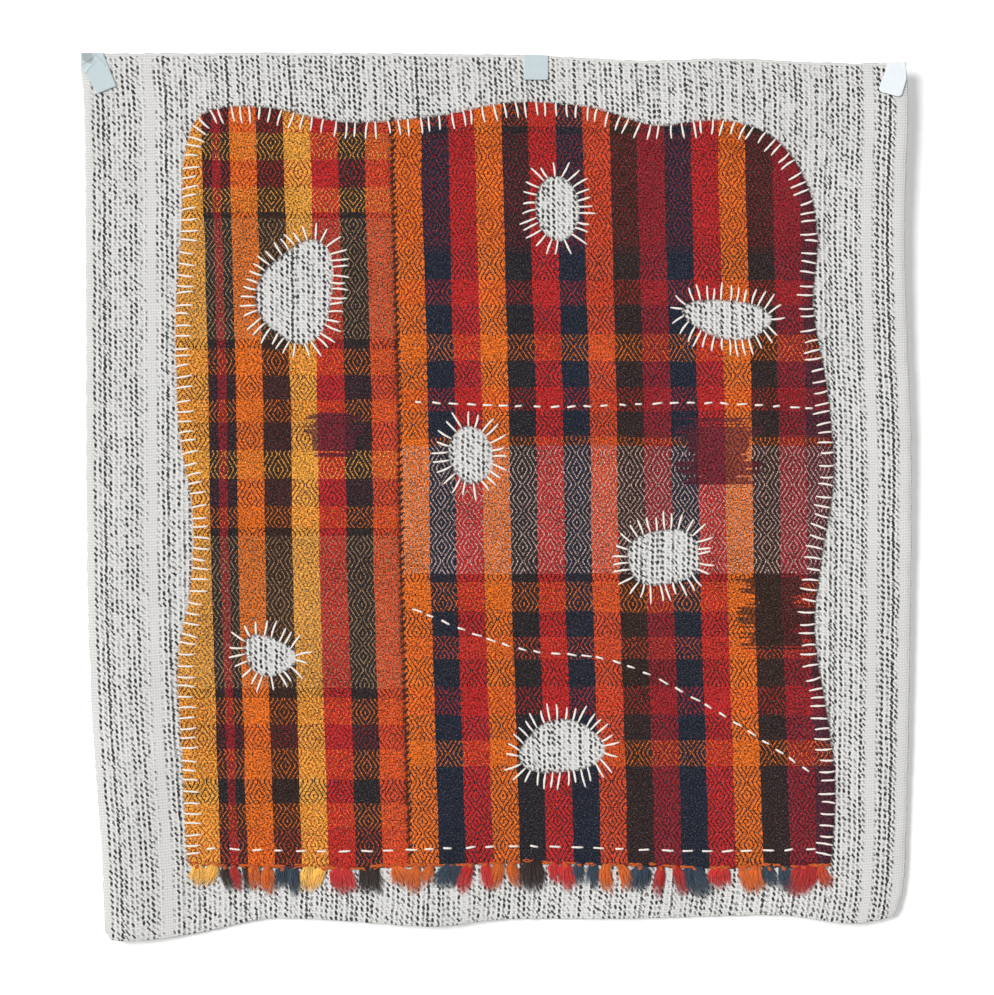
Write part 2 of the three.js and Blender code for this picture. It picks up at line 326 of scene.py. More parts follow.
class Field:
    """A number that varies over a surface, worked out by shader nodes."""

    def __init__(self, socket):
        self.tree = socket.id_data
        self.socket = socket

    def apply(self, operation, *others):
        inputs = dict(enumerate((self, *others)))
        return Field(new_node(self.tree, "Math", inputs, operation=operation).outputs[0])

    __add__ = partialmethod(apply, "ADD")
    __sub__ = partialmethod(apply, "SUBTRACT")
    __mul__ = partialmethod(apply, "MULTIPLY")
    __truediv__ = partialmethod(apply, "DIVIDE")
    floor = partialmethod(apply, "FLOOR")
    fract = partialmethod(apply, "FRACT")
    abs = partialmethod(apply, "ABSOLUTE")
    pingpong = partialmethod(apply, "PINGPONG")
    below = partialmethod(apply, "LESS_THAN")
    larger = partialmethod(apply, "MAXIMUM")

    def wave(self):
        """A sine that goes round once for each whole number, from 0 to 1."""
        return (self * (2 * math.pi)).apply("SINE") * 0.5 + 0.5

    def fade(self, low, high):
        """0 at low and 1 at high, smooth in between."""
        inputs = {"Value": self, "From Min": low, "From Max": high}
        node = new_node(self.tree, "MapRange", inputs, interpolation_type="SMOOTHSTEP")
        return Field(node.outputs["Result"])


def new_material(name, values):
    """A material with its own values for some of its shader's inputs, and that shader."""
    material = bpy.data.materials.new(name)
    material.use_nodes = True
    shader = material.node_tree.nodes["Principled BSDF"]
    for key, value in values.items():
        shader.inputs[key].default_value = value
    return material, shader


class Surface:
    """A material whose colour and relief are worked out from places on the piece."""

    def __init__(self, name, roughness, sheen=0.0, coat=0.0):
        self.material, self.shader = new_material(name, {
            "Roughness": roughness,
            "Sheen Weight": sheen,
            "Coat Weight": coat,
            "Specular IOR Level": 0.25,
        })
        self.tree = self.material.node_tree

    def node(self, kind, inputs, **settings):
        return new_node(self.tree, kind, inputs, **settings)

    def parts(self, socket):
        """A vector's three parts."""
        return [Field(part) for part in self.node("SeparateXYZ", {0: socket}).outputs]

    def cloth_place(self):
        """The two coordinates on the flat cloth, in millimetres."""
        return self.parts(self.node("UVMap", {}, uv_map="cloth").outputs[0])[:2]

    def vector(self, *parts):
        """A vector made of numbers or fields."""
        return self.node("CombineXYZ", dict(enumerate(parts))).outputs[0]

    def chance(self, a, b=0.0, seed=0.0):
        """A random number for each pair of whole numbers."""
        node = self.node("TexWhiteNoise", {"Vector": self.vector(a, b, seed)})
        return Field(node.outputs["Value"])

    def noise(self, a, b, seed=0.0, detail=1.0):
        """A smooth random number with about one swell to each unit of a and b."""
        inputs = {"Scale": 1.0, "Detail": detail, "Vector": self.vector(a, b, seed)}
        return Field(self.node("TexNoise", inputs).outputs["Fac"])

    def ramp(self, field, stops, constant=False):
        """A colour for each stretch of a field: stops are (start, colour), from 0 to 1."""
        node = self.node("ValToRGB", {0: field})
        ramp = node.color_ramp
        ramp.interpolation = "CONSTANT" if constant else "LINEAR"
        while len(ramp.elements) < len(stops):
            ramp.elements.new(0.5)
        for element, (start, colour) in zip(ramp.elements, stops):
            element.position = start
            element.color = colour
        return node.outputs[0]

    def mix(self, share, first, second, blend="MIX"):
        """The first colour where the share is 0, and the second where it is 1."""
        inputs = {0: share, 6: first, 7: second}
        return self.node("Mix", inputs, data_type="RGBA", blend_type=blend).outputs[2]

    def shade(self, colour, field):
        """A colour made lighter or darker by a field around 1."""
        grey = self.vector(field, field, field)
        return self.mix(1.0, colour, grey, "MULTIPLY")

    def finish(self, colour, height=None, depth=0.3):
        """The finished material. depth is how far a height of 1 stands out, in millimetres."""
        join(colour, self.shader.inputs["Base Color"])
        if height is not None:
            inputs = {"Distance": depth * MM, "Strength": 0.7, "Height": height}
            join(self.node("Bump", inputs).outputs[0], self.shader.inputs["Normal"])
        return self.material


# How dark the marled columns are across the backing: millimetres from the left edge, share
MARL_BANDS = [
    (0, 0.0), (5.5, 0.0), (7, 1.0), (20, 0.95), (58, 0.9), (62, 0.12), (68, 0.12), (71, 0.9),
    (110, 1.0), (771, 1.0), (774, 0.08), (782, 0.08), (784, 1.0), (802, 1.0),
    (804, 0.0), (825, 0.0),
]
# The right edge's own stripe, in which even the weakest yarns are dark
STRONG_FROM = 782
STRONG_MORE = 0.45
# The marled yarns: column pitch, dash length and width, strength
MARLED_YARNS = [(5.2, 4.9, 3.0, 1.0), (15.6, 4.6, 2.8, 0.8), (7.8, 4.0, 2.2, 0.6)]
# The pitches of the dashes down a column, of the level ribs and of the upright yarns
DASH_ROW = 5.7
RIB_PITCH = 2.85
YARN_PITCH = 2.6
# The plain strip along the top edge
TOP_STRIP = 2.0


def marled_cloth():
    """Off-white cotton with upright rows of slanted black and grey dashes."""
    made = Surface("marled_cloth", roughness=0.92, sheen=0.1)
    u, v = made.cloth_place()
    wander = made.noise(u / 55, v / 42, 3) - 0.5
    across = u + wander * 2.4
    stops = [(at / MARL_BANDS[-1][0], (share, share, share, 1)) for at, share in MARL_BANDS]
    band = Field(made.ramp(across / MARL_BANDS[-1][0], stops))
    band = band * v.fade(TOP_STRIP - 1, TOP_STRIP + 1)
    strong = across.fade(STRONG_FROM - 3, STRONG_FROM + 3) * STRONG_MORE
    dark = None
    dash_highlight = None
    for number, (pitch, long, wide, strength) in enumerate(MARLED_YARNS):
        column = across / pitch + 0.37 * number
        index = column.floor()
        beside = (column.fract() - 0.5) * pitch
        lift = made.noise(u / 3, v / 9, 5 + number) - 0.5
        down = v / DASH_ROW + made.chance(index, 0.0, number) + lift * 0.5
        step = down.floor()
        place = (down.fract() - 0.5) * DASH_ROW
        # A dash's darkness: its column's own, a slow change down it, and the dash's own
        own = made.chance(index, 7.0, number) * 0.65 + (index / 2).fract() * 0.6 + 0.44 + strong
        slow = made.noise(index * 3.1, v / 26, 9 + number, 2.0).fade(0.3, 0.6) * 0.5 + 0.6
        cell = made.chance(index, step, 20 + number) * 0.9 + 0.45
        tone = (own * slow * cell * band * strength).fade(0.0, 1.0)
        # The dashes slant and stray, the fainter ones are smaller, and each has a painted highlight
        # along its sides.
        size = tone * 0.4 + 0.6
        turn = made.chance(index, step, 40) * 1.3 - 0.1
        shift = made.chance(index, step, 50) * 0.8 - 0.4
        bend = (place / DASH_ROW * (2 * math.pi)).apply("SINE") * turn + shift
        from_dash = (beside - bend).abs()
        beyond = from_dash / (size * (wide / 2))
        along = place / (size * (long / 2))
        dash = (beyond * beyond + along * along).fade(1.5, 0.35) * tone
        # Painted highlight: the pale cloth is made lighter beside each dash.
        white = (from_dash - 2.1).abs().fade(1.0, 0.1) * place.abs().fade(2.6, 1.0) * tone
        dark = dash if dark is None else dark.larger(dash)
        dash_highlight = white if dash_highlight is None else dash_highlight.larger(white)
    rib = (v / RIB_PITCH + (made.noise(u / 8, v / 8, 31) - 0.5) * 0.4).wave()
    post = (across / YARN_PITCH).wave()
    grain = made.noise(u * 1.3, v * 1.3, 37, 2.0)
    pale = made.ramp(grain, [(0.3, linear((200, 199, 196))), (0.68, linear((250, 249, 247)))])
    cloud = made.noise(u / 35, v / 50, 41)
    # The ribs and upright yarns darken the pale colour between them as painted shade, and the dash
    # highlights add painted highlights. The cloud is the cloth's own uneven tone.
    light = rib * 0.15 + post * 0.06 + (cloud - 0.5) * 0.12 + dash_highlight * 0.2 + 0.725
    pale = made.shade(pale, light)
    black = made.ramp(grain, [(0.3, linear((14, 14, 16))), (0.7, linear((66, 66, 68)))])
    colour = made.mix(dark, pale, black)
    height = rib * 0.5 + post * 0.35 + grain * 0.5 - dark * 0.5
    return made.finish(colour, height, 0.5)


STRIPE = 27.0
BAND = 26


def stripes(width, yarns):
    """Stripes of one width, as (width, yarn)."""
    return [(width, yarn) for yarn in yarns.split()]


# The plaid's stripes outwards from the seam
WARP = {
    "left": [
        *stripes(STRIPE, "flame charcoal red ochre umber orange"),
        *stripes(9, "charcoal crimson charcoal"), (54, "ochre"),
    ],
    "right": [
        *stripes(STRIPE, "orange navy red orange charcoal red navy flame umber crimson"),
        *stripes(STRIPE, "navy red orange umber crimson"), (54, "maroon"),
    ],
}
# The weft's bands from the top down
WEFT = {
    "left": [
        (30, "red"), *stripes(BAND, "ochre red ochre"), (8, "umber"), (118, "tan"), (8, "umber"),
        *stripes(BAND, "orange maroon orange maroon ochre maroon orange"), (9, "umber"),
        (150, "tan"), (9, "umber"), *stripes(BAND, "orange crimson orange charcoal orange"),
        (60, "flame"),
    ],
    "right": [
        (20, "flame"), (9, "umber"), (112, "crimson"), (9, "maroon"),
        *stripes(BAND, "navy red navy orange navy red navy"), (9, "orange"), (128, "rose"),
        (9, "umber"), *stripes(BAND, "orange charcoal flame charcoal red navy orange"),
        (60, "navy"),
    ],
}
# The share of the face that the upright yarns cover, and the yarns of a diamond
WARP_SHARE = 0.74
ENDS_PER_DIAMOND = 24
PICKS_PER_DIAMOND = 16
FLOAT = 4
# Ragged patches of another yarn: from the seam, from the top, half width, half height, yarn
BLOTCHES = {
    "left": [(-66, 330, 24, 26, "maroon")],
    "right": [(318, 352, 34, 34, "maroon"), (372, 508, 30, 40, "umber")],
}


def side_by_side(table):
    """Each stripe's start, end and yarn."""
    at = 0.0
    for width, yarn in table:
        yield at, at + width, yarn
        at += width


def stripe_stops(table):
    """Ramp stops for stripes side by side, and their whole width."""
    total = sum(width for width, _ in table)
    return [(start / total, linear(YARNS[yarn])) for start, _, yarn in side_by_side(table)], total


def plaid_wool(side):
    """Diamond twill: upright striped yarns that cover most of the face, and level banded yarns."""
    made = Surface(f"plaid_{side}", roughness=0.9, sheen=0.04)
    u, v = made.cloth_place()
    s = u + (made.noise(u / 40, v / 55, 1) - 0.5) * 3.0
    t = v + (made.noise(u / 70, v / 40, 2) - 0.5) * 4.0 + (made.noise(0.0, v / 60, 22) - 0.5) * 16
    warp_stops, warp_wide = stripe_stops(WARP[side])
    weft_stops, weft_long = stripe_stops(WEFT[side])
    end_pitch = STRIPE / ENDS_PER_DIAMOND
    pick_pitch = STRIPE / PICKS_PER_DIAMOND
    pick = (t / pick_pitch).floor()
    from_seam = s.abs() / warp_wide
    warp = made.ramp(from_seam, warp_stops, constant=True)
    loose = made.chance(pick, 3.0, 4) - 0.5
    weft = made.ramp((t + loose * 1.6) / weft_long, weft_stops, constant=True)
    # Each pick of a blotch reaches its own way.
    for number, (at_s, at_t, wide, high, yarn) in enumerate(BLOTCHES[side]):
        reach = made.chance(pick, 5.0 + number, 6) * 0.7 + made.noise(pick / 9, number, 7) + 0.1
        level = ((t - at_t).abs() / high).below(made.chance(pick, 8.0 + number, 9) * 0.5 + 0.6)
        near = ((s - at_s).abs() / wide).below(reach) * level
        weft = made.mix(near, weft, linear(YARNS[yarn]))
        warp = made.mix(near * 0.75, warp, linear(YARNS[yarn]))
    # The floats step one yarn at each pick and turn at each diamond's edge.
    turn_end = (s / end_pitch).pingpong(ENDS_PER_DIAMOND / 2)
    turn_pick = (pick + 0.5).pingpong(PICKS_PER_DIAMOND / 2)
    twill = (turn_end + turn_pick) / FLOAT
    on_top = twill.fract().below(WARP_SHARE)
    colour = made.mix(on_top, weft, warp)
    fuzz = made.noise(u * 0.64, v * 0.64, 8, 2.0).fade(0.36, 0.64)
    broad = made.noise(u / 60, v / 60, 10)
    float_own = made.chance((s / end_pitch / FLOAT).floor(), pick, 12)
    ridge = (twill - (WARP_SHARE / 2 - 0.25)).wave()
    # The ridge lightens the twill lines and darkens the colour between them as painted shade. The
    # floats, fuzz and broad noise are the wool's own uneven tone.
    light = float_own * 0.42 + fuzz * 1.5 + (broad - 0.5) * 0.5 + ridge * 0.4 - 0.12
    colour = made.shade(colour, light.larger(0.1))
    speck = made.noise(u * 0.75, v * 0.75, 14, 2.0).fade(0.56, 0.74)
    colour = made.mix(speck * 0.38, colour, linear(YARNS["rose"]))
    round_end = (s / end_pitch).fract().pingpong(0.5)
    round_pick = (t / pick_pitch).fract().pingpong(0.5)
    height = ridge * 0.8 + round_end * on_top + round_pick * (on_top * -1 + 1) + fuzz * 0.9
    return made.finish(colour, height, 0.35)


def yarn_material(name, colour, dark, ply=2.6):
    """A plied yarn: cloth coordinates are the length along it and the share round it."""
    made = Surface(name, roughness=0.8, sheen=0.2)
    along, round_it = made.cloth_place()
    twist = (along / ply + round_it * 2).wave()
    fuzz = made.noise(along * 1.5, round_it * 6, 3, 2.0)
    # The grooves between the plies take the dark colour as painted shade, mixed with the fuzz's
    # random tone.
    shade = made.mix(twist * 0.65 + fuzz * 0.35, linear(dark), linear(colour))
    return made.finish(shade, twist * 0.7 + fuzz * 0.5, 0.3)


def lock_material():
    """Loose wool: each strand has its own colour, with painted light on the strands that stand
    farther out.
    """
    made = Surface("fringe_wool", roughness=0.85, sheen=0.25)
    node = made.node("Attribute", {}, attribute_name="yarn")
    along, strand = made.cloth_place()
    streak = made.noise(along / 5, strand * 9.7, 2)
    return made.finish(made.shade(node.outputs["Color"], streak * 0.5 + 0.75))


def tab_material(name, colour, fold_shade_at=None):
    """Satin tape with faint smudges, and a darker spot of painted shade where it is bent: x, z and
    radius.
    """
    made = Surface(name, roughness=0.42, coat=0.1)
    place = made.node("TexCoord", {}).outputs["Object"]
    smudge = made.node("TexNoise", {"Scale": 160, "Detail": 3, "Vector": place})
    fine = Field(smudge.outputs["Fac"])
    light = fine * 0.12 + 0.93
    # Painted shade: the tape is darkened round the fold at its corner.
    if fold_shade_at is not None:
        x, z, radius = fold_shade_at
        from_left, _, from_below = made.parts(place)
        across = from_left / MM - x
        up = from_below / MM - z
        away = (across * across + up * up).apply("SQRT") / radius + (fine - 0.5) * 1.2
        light = light * (away.fade(0.6, 1.1) * 0.34 + 0.66)
    return made.finish(made.shade(linear(colour), light), fine, 0.2)


# How far the backing's front and back draw in at the edge, and how far the edge bulges
EDGE_FRONT = 0.7
EDGE_BACK = 0.6
EDGE_BULGE = 0.7
BULGE_STRAY = 0.5


def at_depth(x, z, depth):
    """Points that lie a depth in front of the wall."""
    return stacked(x, -depth, z)


def backing_rim(x, z, out, ring):
    """The points halfway through the backing's edge."""
    away = stacked(x, z)[ring]
    along = np.roll(away, -1, axis=0) - np.roll(away, 1, axis=0)
    normal = stacked(-along[:, 1], along[:, 0])
    normal /= np.linalg.norm(normal, axis=1, keepdims=True)
    bulge = np.array([EDGE_BULGE + wobble(BULGE_STRAY) for _ in ring])
    rim = away + normal * bulge[:, None]
    return at_depth(*rim.T, out.ravel()[ring] + BACKING_THICK / 2)


def backing_cloth(material):
    """The backing: a thick sheet with a soft rounded edge all round."""
    columns = round(CLOTH_WIDE / CELL)
    rows = round(CLOTH_LONG / CELL)
    u, v = np.meshgrid(np.linspace(0, 1, columns + 1), np.linspace(0, 1, rows + 1))
    x, z = cloth_point(u, v)
    to_side = np.minimum(u, 1 - u) * CLOTH_WIDE
    bite = np.clip(CORNER_ROUND - to_side, 0, CORNER_ROUND)
    lift = CORNER_ROUND - np.sqrt(CORNER_ROUND**2 - bite**2)
    z = z + lift * smoothstep(v, 0.97, 1)
    out = stand_off(x, z)
    edge = (u == 0) | (u == 1) | (v == 0) | (v == 1)
    front = at_depth(x, z, out + np.where(edge, BACKING_THICK - EDGE_FRONT, BACKING_THICK))
    back = at_depth(x, z, out + np.where(edge, EDGE_BACK, 0.0))
    size = u.size
    index = np.arange(size).reshape(u.shape)
    a, b, c, d = index[:-1, :-1], index[1:, :-1], index[1:, 1:], index[:-1, 1:]
    faces = stacked(a, b, c, d).tolist() + (stacked(a, d, c, b) + size).tolist()
    ring = np.r_[index[0, :-1], index[:-1, -1], index[-1, :0:-1], index[:0:-1, 0]]
    points = np.vstack([front, back, backing_rim(x, z, out, ring)])
    ring = ring.tolist()
    for k, (here, ahead) in enumerate(zip(ring, ring[1:] + ring[:1])):
        middle, next_middle = 2 * size + k, 2 * size + (k + 1) % len(ring)
        faces.append([here, ahead, next_middle, middle])
        faces.append([middle, next_middle, ahead + size, here + size])
    uv = stacked(u * CLOTH_WIDE, v * CLOTH_LONG)
    uvs = np.vstack([uv, uv, uv[ring]])
    return mesh_piece("backing_sheet", points, faces, material, uvs)


def patch_hem(lower=0.0):
    """The patch's lower edge, from right to left, or a line some way below it."""
    line = smooth_line(PATCH_HEM, EDGE_STEP)
    line[:, 1] -= lower
    return line


def panel_outline(side):
    """One loom width's edge: the patch's edge on that side of the seam, and the seam."""
    sign = -1 if side == "left" else 1
    around = np.vstack([smooth_line(PATCH_EDGE, EDGE_STEP), patch_hem(HEM_STRIP)[1:-1]])
    off = sign * (around[:, 0] - seam_x(around[:, 1]))
    start = np.argmax((off > 0) & (np.roll(off, 1) <= 0))
    around = np.roll(around, -start, axis=0)
    off = np.roll(off, -start)
    kept = around[off > 0.5 * EDGE_STEP]
    first, last = kept[0, 1], kept[-1, 1]
    z = np.arange(min(first, last), max(first, last), EDGE_STEP)
    if last > first:
        z = z[::-1]
    seam = stacked(seam_x(z) + sign * AIR_GAP / 2, z)
    return np.vstack([ragged(even_steps(kept, EDGE_STEP), 0.75), seam])


def distances(points, others):
    """How far each point is from the nearest of the others."""
    return np.array([np.hypot(*(others - point).T).min() for point in points])


def in_cloth(points, rings):
    """Which points lie inside the first ring and outside the others."""
    result = inside(points, rings[0])
    for hole in rings[1:]:
        result &= ~inside(points, hole)
    return result


# The height of an even-sided triangle whose sides are 1
TRIANGLE_HIGH = 0.866


def fill_rings(rings):
    """Points and triangles that fill the first ring, less the others."""
    low, high = rings[0].min(axis=0), rings[0].max(axis=0)
    across = np.arange(low[0], high[0], CELL)
    up = np.arange(low[1], high[1], CELL * TRIANGLE_HIGH)
    grid_x, grid_z = np.meshgrid(across, up)
    grid_x = grid_x + (np.arange(len(up)) % 2)[:, None] * CELL / 2
    grid = stacked(grid_x, grid_z)
    grid = grid[in_cloth(grid, rings)]
    grid = grid[distances(grid, np.vstack(rings)) > 0.55 * CELL]
    edges = []
    start = 0
    for ring in rings:
        count = len(ring)
        edges += [(start + k, start + (k + 1) % count) for k in range(count)]
        start += count
    places = [Vector(place) for place in np.vstack([*rings, grid]).tolist()]
    made = delaunay_2d_cdt(places, edges, [], 0, 1e-6)
    flat = np.array([list(place) for place in made[0]])
    triangles = np.array(made[2])
    triangles = triangles[in_cloth(flat[triangles].mean(axis=1), rings)]
    side_a = flat[triangles[:, 1]] - flat[triangles[:, 0]]
    side_b = flat[triangles[:, 2]] - flat[triangles[:, 0]]
    backward = side_a[:, 0] * side_b[:, 1] < side_a[:, 1] * side_b[:, 0]
    triangles[backward] = triangles[backward][:, ::-1]
    return flat, triangles


# The soft ridge where the stitches draw the plaid together: height, place from the edge, reach
RIDGE_HIGH = 0.5
RIDGE_AT = 9
RIDGE_REACH = 6


def plaid_sheet(side, rings):
    """A panel: a sheet with thickness and rounded edges inside its outline, less its holes."""
    flat, triangles = fill_rings(rings)
    size = len(flat)
    x, z = flat.T
    from_edge = distances(flat, np.vstack(rings))
    at_edge = from_edge < 0.05
    base = stand_off(x, z) + BACKING_THICK + AIR_GAP
    ridge = RIDGE_HIGH * np.exp(-(((from_edge - RIDGE_AT) / RIDGE_REACH) ** 2))
    waves = 0.35 * np.sin(x / 17 + 2 * np.sin(z / 41))
    front = base + np.where(at_edge, PLAID_THICK * 0.75, PLAID_THICK + ridge * (1 + waves))
    back = base + np.where(at_edge, PLAID_THICK * 0.25, 0.0)
    points = np.vstack([at_depth(x, z, front), at_depth(x, z, back)])
    faces = triangles.tolist() + (triangles[:, ::-1] + size).tolist()
    sides = {}
    for a, b, c in triangles.tolist():
        sides.update({(a, b): True, (b, c): True, (c, a): True})
    faces += [[b, a, a + size, b + size] for a, b in sides if (b, a) not in sides]
    uv = stacked(x - seam_x(z), PATCH_TOP - z)
    uvs = np.vstack([uv, uv])
    return mesh_piece(f"plaid_{side}_sheet", points, faces, plaid_wool(side), uvs)


def surface_y(x, z, layers):
    """The front of the backing (0 layers) or of the plaid on it (1 layer)."""
    return -(stand_off(x, z) + BACKING_THICK + layers * (AIR_GAP + PLAID_THICK))


# The depth of the grooves between plies, and the shift of the twist from yarn to yarn
PLY_DEEP = 0.13
TWIST_SHIFT = 13.7


def tubes(name, paths, material, sides=7, ply=None, colours=None):
    """One mesh of yarns. A path has rows of x, y, z and radius, and may have two end colours."""
    points, faces, uvs, shades = [], [], [], []
    angles = np.arange(sides) / sides * 2 * np.pi
    for number, path in enumerate(paths):
        spine = path[:, :3]
        along = np.gradient(spine, axis=0)
        along /= np.linalg.norm(along, axis=1, keepdims=True)
        side = np.cross(along, [0.0, -1.0, 0.0])
        side /= np.maximum(np.linalg.norm(side, axis=1, keepdims=True), 1e-6)
        up = np.cross(side, along)
        angle, length = np.meshgrid(angles, lengths_along(spine))
        radius = path[:, 3:] * np.ones(sides)
        if ply:
            radius *= 1 + PLY_DEEP * np.cos(2 * (angle - np.pi * length / ply))
        ring = side[:, None] * np.cos(angle)[..., None] + up[:, None] * np.sin(angle)[..., None]
        index = np.arange(angle.size).reshape(angle.shape) + sum(map(len, points))
        points.append((spine[:, None] + ring * radius[..., None]).reshape(-1, 3))
        uvs.append(stacked(length + TWIST_SHIFT * number, angle / (2 * np.pi)))
        if colours:
            first, last = colours[number]
            share = np.repeat(np.linspace(0, 1, len(spine)), sides)[:, None]
            shades.append(first + (last - first) * share)
        a, b = index[:-1], np.roll(index, -1, axis=1)[:-1]
        faces += stacked(a, b, b + sides, a + sides).tolist()
        faces += [index[0, ::-1].tolist(), index[-1].tolist()]
    shades = np.vstack(shades) if colours else None
    return mesh_piece(name, np.vstack(points), faces, material, np.vstack(uvs), shades)


STITCH_RADIUS = 1.1
STITCH_STEPS = 10
# How far outside the edge a whip stitch starts
STITCH_OUTSIDE = 1.4
PATCH_SPACING = 10.6
HOLE_SPACING = 7.4
FIBRE_SPACING = 1.3

# Short stitches: the cloths of the patch beneath, how deep the ends are sunk, how far the middle
# rises from there, how square the arch is, and the radius
ARCH_STEPS = np.linspace(-1, 1, 7)
RUNNING_STITCH = {"layers": 1, "sunk": 0.9, "rise": 1.7, "power": 0.6, "radius": 1.045}
SEAM_STITCH = {"layers": 1, "sunk": 0.8, "rise": 1.5, "power": 0.6, "radius": 1.0}
ROOT_KNOT = {"layers": 0, "sunk": -0.8, "rise": 2.9, "power": 0.5, "radius": 0.65}


def arch(x, z, tilt, layers, sunk, rise, power, radius):
    """A short stitch through places on the cloth, from which its ends may tilt up and down."""
    out = np.cos(np.pi * ARCH_STEPS / 2) ** power
    y = surface_y(x, z, layers) + sunk - rise * out
    return stacked(x, y, z + tilt * ARCH_STEPS, np.full(len(ARCH_STEPS), radius))


def whip_stitch(edge, inward, length, skew):
    """One stitch over the patch's edge: out of the backing, over the edge, into the plaid."""
    direction = turned(*inward, skew)
    across = np.array([-direction[1], direction[0]])
    bow = wobble(0.8)
    t = np.linspace(0, 1, STITCH_STEPS)
    at = edge[:, None] + np.outer(direction, length * t - STITCH_OUTSIDE)
    x, z = at + np.outer(across, bow * np.sin(np.pi * t))
    low = surface_y(x, z, 0) + 0.4
    lift = surface_y(x, z, 1) - 0.75
    y = low + (lift - low) * smoothstep(t, 0, 0.13) + 1.9 * smoothstep(t, 0.86, 1)
    belly = np.sin(np.pi * np.clip(t * 1.15 - 0.05, 0, 1)) ** 0.5
    return stacked(x, y, z, STITCH_RADIUS * (0.62 + 0.38 * belly))


def stitch_places(line, spacing):
    """Points on a line with the direction to its left, unevenly spaced."""
    lengths = lengths_along(line)
    count = round(lengths[-1] / spacing)
    step = lengths[-1] / count
    for k in range(count):
        at = (k + 0.5) * step + wobble(0.2) * spacing
        along = on_line(line, lengths, at + 5) - on_line(line, lengths, at - 5)
        along /= np.linalg.norm(along)
        yield on_line(line, lengths, at), np.array([-along[1], along[0]])


def stitched_edges():
    """The patch's edge and the holes' edges, as lines."""
    return [smooth_line(PATCH_EDGE, EDGE_STEP), *(closed(hole_outline(hole)) for hole in HOLES)]


def stitches_on(line, spacing, drift, kept, change, shortest, longest):
    """Whip stitches along an edge. Their slant drifts from one to the next."""
    for here, left in stitch_places(line, spacing):
        drift = kept * drift + wobble(change)
        yield whip_stitch(here, -left, draw.uniform(shortest, longest), drift)


def whip_stitches():
    """The stitches round the patch and round its holes."""
    patch, *holes = stitched_edges()
    paths = [*stitches_on(patch, PATCH_SPACING, 0.0, 0.7, 7, 14, 19)]
    for hole in holes:
        paths += stitches_on(hole, HOLE_SPACING, wobble(10), 0.6, 9, 13, 20)
    return paths


# The lines of running stitches: the row above the hem, then a level line and a bow across the
# right panel. Each has its points, a dash's length and the pitch.
SEWN_LINES = [
    ([(-298, -790), (-150, -793), (20, -788), (210, -793), (328, -790)], 10, 21),
    ([(-88, -345), (60, -350), (200, -346), (322, -352)], 8, 17),
    ([(-90, -548), (20, -590), (120, -604), (215, -650), (326, -722)], 9, 16),
]


def running_stitches():
    """Dashes of yarn that lie on the plaid, with gaps where the yarn runs beneath."""
    paths = []
    for points, dash, pitch in SEWN_LINES:
        line = smooth_line(points, EDGE_STEP)
        lengths = lengths_along(line)
        at = pitch / 2
        while at + dash * 1.25 < lengths[-1]:
            long = dash * draw.uniform(0.75, 1.25)
            sway = wobble(0.7)
            x, z = on_line(line, lengths, at + long * (ARCH_STEPS + 1) / 2)
            paths.append(arch(x, z, sway, **RUNNING_STITCH))
            at += pitch * draw.uniform(0.88, 1.12)
    return paths


# The seam's stitches: the first one's height, and the height that the last one stays above
SEAM_TOP = -64.0
SEAM_BOTTOM = -800


def seam_stitches():
    """Slanting dark stitches that draw the two loom widths together."""
    paths = []
    z = SEAM_TOP
    while z > SEAM_BOTTOM:
        tilt = draw.uniform(3.4, 5.6)
        wide = draw.uniform(2.0, 3.0)
        middle = float(seam_x(z)) + wobble(0.9)
        x, level = middle + wide * ARCH_STEPS, z + tilt * 0.5 * ARCH_STEPS
        paths.append(arch(x, level, 0.0, **SEAM_STITCH))
        z -= draw.uniform(6.2, 8.2)
    return paths


STRANDS_PER_MM = 8
# The hem's height where the stripes are measured, and how far below the hem the locks start
HEM_AT = -805
ROOT_DROP = 2.5
# The yarn of a lock under a stripe, where it isn't the stripe's own
FRINGE_SHADE = {
    "ochre": "gold", "flame": "orange", "umber": "slate", "maroon": "flame",
    "red": "scarlet", "crimson": "red", "navy": "slate", "charcoal": "umber",
}


def stripes_at_hem(side):
    """Each warp stripe's two ends on the hem, and its yarn."""
    sign = -1 if side == "left" else 1
    seam = float(seam_x(HEM_AT))
    for start, end, yarn in side_by_side(WARP[side]):
        yield *sorted((seam + sign * start, seam + sign * end)), yarn


def fringe_lock(root, wide, shade, hem_z):
    """A brush of fine strands, narrow where it is tied and wider below, with paler tips."""
    paths, colours = [], []
    length = draw.uniform(20, 32)
    slant = wobble(8)
    bow = wobble(3)
    neck = draw.uniform(0.3, 0.75)
    t = np.linspace(0, 1, 6)
    belly = np.sin(np.pi * t)
    opened = neck + (1 - neck) * smoothstep(t, 0, 0.45)
    for _ in range(int(wide * STRANDS_PER_MM)):
        off = wobble(1)
        layer = draw.uniform(0, 1)
        long = length * draw.uniform(0.55, 1.08) * (1 - 0.2 * off * off)
        stray = draw.gauss(0, 2.0)
        curl = wobble(1.2)
        phase = draw.uniform(0, 6.3)
        x = root + off * wide / 2 * opened + bow * belly
        x += slant * t**1.5 + stray * t * t + curl * np.sin(5 * t + phase) * t
        z = hem_z - long * t
        rise = 1.1 + (2.0 + 1.6 * belly) * layer * (1 - 0.5 * off * off)
        y = surface_y(x, z, 0) - rise * (1 - 0.45 * t)
        paths.append(stacked(x, y, z, 0.4 * (1 - 0.72 * t)))
        # Strands that stand farther out are lighter. This is painted light over each strand's own
        # random tone.
        own = shade * (draw.uniform(0.75, 1.3) + 0.4 * layer)
        tip = own * draw.uniform(0.9, 1.5) + draw.uniform(0, 0.06)
        colours.append((np.r_[own, 1.0], np.r_[tip, 1.0]))
    return paths, colours


